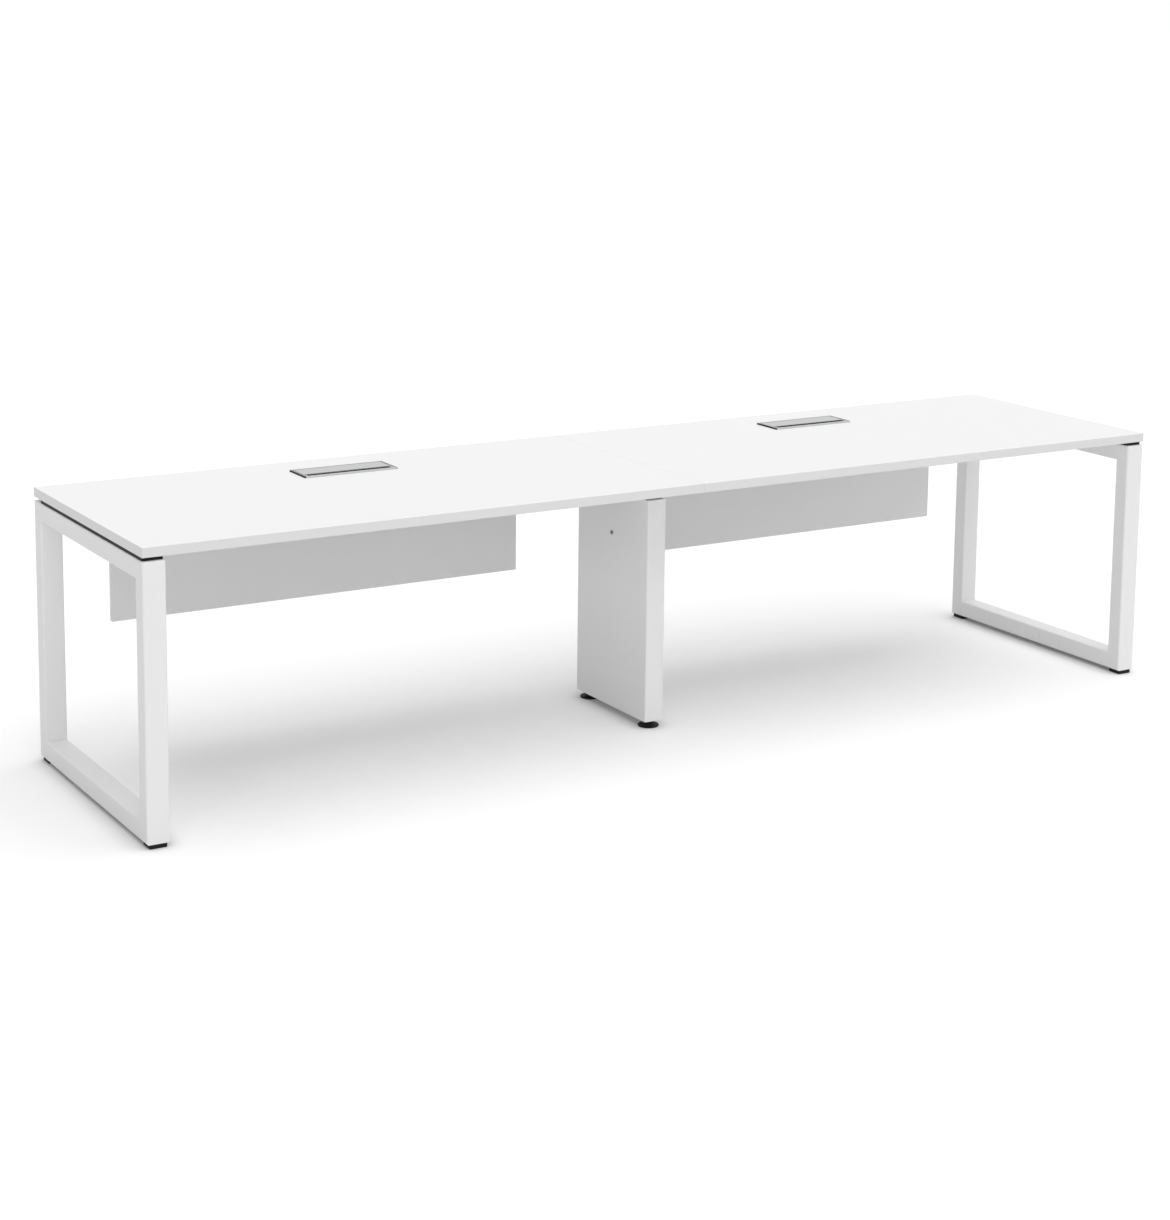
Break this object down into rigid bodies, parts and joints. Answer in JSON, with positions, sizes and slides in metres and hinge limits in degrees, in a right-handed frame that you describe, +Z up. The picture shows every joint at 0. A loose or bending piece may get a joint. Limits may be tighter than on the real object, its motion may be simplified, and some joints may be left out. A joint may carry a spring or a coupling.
{
  "type": "linear office desk",
  "caption": "Long linear office desk: thin white worktop on closed loop legs and a set-back centre leg, with modesty panels, hinged cable flaps and levelling feet.",
  "frame": {"origin": "on the floor, under the middle of the worktop", "axes": "+X along the desk to the right of the person seated at it, +Y away from that person, +Z up"},
  "size_m": [3.2, 0.8, 0.754],
  "materials": {
    "white_board": "white melamine face, fine matt texture",
    "white_edge": "white plastic edge band",
    "white_coat": "white powder coat, fine texture",
    "black_spacer": "black moulded plastic",
    "black_coat": "black powder coat",
    "foot_plastic": "black nylon",
    "zinc_steel": "bright zinc plate",
    "anodised": "satin anodised",
    "brush_hair": "black nylon bristle"
  },
  "bodies": {
    "root": {"beam_bolts": "zinc_steel", "beam_spacers": "black_spacer", "beam_weld_nuts": "zinc_steel", "centre_leg_base_plate": "white_coat", "centre_leg_foot_nuts": "zinc_steel", "centre_leg_saddle": "black_coat", "centre_leg_screw": "zinc_steel", "centre_leg_shell": "white_coat", "centre_leg_top_plate": "white_coat", "edge_band_left": "white_edge", "edge_band_right": "white_edge", "front_beam_left": "white_coat", "front_beam_right": "white_coat", "joining_plates": "zinc_steel", "left_leg_bottom_rail": "white_coat", "left_leg_foot_nuts": "zinc_steel", "left_leg_front_post": "white_coat", "left_leg_rear_post": "white_coat", "left_leg_spacer": "black_spacer", "left_leg_top_rail": "white_coat", "modesty_brackets_left": "white_coat", "modesty_brackets_right": "white_coat", "modesty_panel_left": "white_board", "modesty_panel_right": "white_board", "outlet_brush_left": "brush_hair", "outlet_brush_right": "brush_hair", "outlet_end_caps_left": "black_spacer", "outlet_end_caps_right": "black_spacer", "outlet_frame_left": "anodised", "outlet_frame_right": "anodised", "outlet_hinge_pins_left": "zinc_steel", "outlet_hinge_pins_right": "zinc_steel", "rear_beam_left": "white_coat", "rear_beam_right": "white_coat", "right_leg_bottom_rail": "white_coat", "right_leg_foot_nuts": "zinc_steel", "right_leg_front_post": "white_coat", "right_leg_rear_post": "white_coat", "right_leg_spacer": "black_spacer", "right_leg_top_rail": "white_coat", "saddle_bolts": "zinc_steel", "wood_screws": "zinc_steel", "worktop_left": "white_board", "worktop_right": "white_board", "worktop_screws": "zinc_steel"},
    "foot_front_left": {"foot_pad_front_left": "foot_plastic", "foot_stem_front_left": "zinc_steel"},
    "foot_rear_left": {"foot_pad_rear_left": "foot_plastic", "foot_stem_rear_left": "zinc_steel"},
    "foot_front_right": {"foot_pad_front_right": "foot_plastic", "foot_stem_front_right": "zinc_steel"},
    "foot_rear_right": {"foot_pad_rear_right": "foot_plastic", "foot_stem_rear_right": "zinc_steel"},
    "foot_front_centre": {"foot_pad_front_centre": "foot_plastic", "foot_stem_front_centre": "zinc_steel"},
    "foot_rear_centre": {"foot_pad_rear_centre": "foot_plastic", "foot_stem_rear_centre": "zinc_steel"},
    "flap_left": {"outlet_lid_left": "anodised"},
    "flap_right": {"outlet_lid_right": "anodised"}
  },
  "joints": [
    {"name": "front_left_foot_level", "type": "slide", "parent": "root", "child": "foot_front_left", "axis": [0, 0, -1], "range_m": [0, 0.012]},
    {"name": "rear_left_foot_level", "type": "slide", "parent": "root", "child": "foot_rear_left", "axis": [0, 0, -1], "range_m": [0, 0.012]},
    {"name": "front_right_foot_level", "type": "slide", "parent": "root", "child": "foot_front_right", "axis": [0, 0, -1], "range_m": [0, 0.012]},
    {"name": "rear_right_foot_level", "type": "slide", "parent": "root", "child": "foot_rear_right", "axis": [0, 0, -1], "range_m": [0, 0.012]},
    {"name": "front_centre_foot_level", "type": "slide", "parent": "root", "child": "foot_front_centre", "axis": [0, 0, -1], "range_m": [0, 0.012]},
    {"name": "rear_centre_foot_level", "type": "slide", "parent": "root", "child": "foot_rear_centre", "axis": [0, 0, -1], "range_m": [0, 0.012]},
    {"name": "left_flap_hinge", "type": "hinge", "parent": "root", "child": "flap_left", "pos_m": [-0.78, 0.266, 0.7515], "axis": [-1, 0, 0], "range_deg": [0, 100]},
    {"name": "right_flap_hinge", "type": "hinge", "parent": "root", "child": "flap_right", "pos_m": [0.78, 0.266, 0.7515], "axis": [-1, 0, 0], "range_deg": [0, 100]}
  ]
}
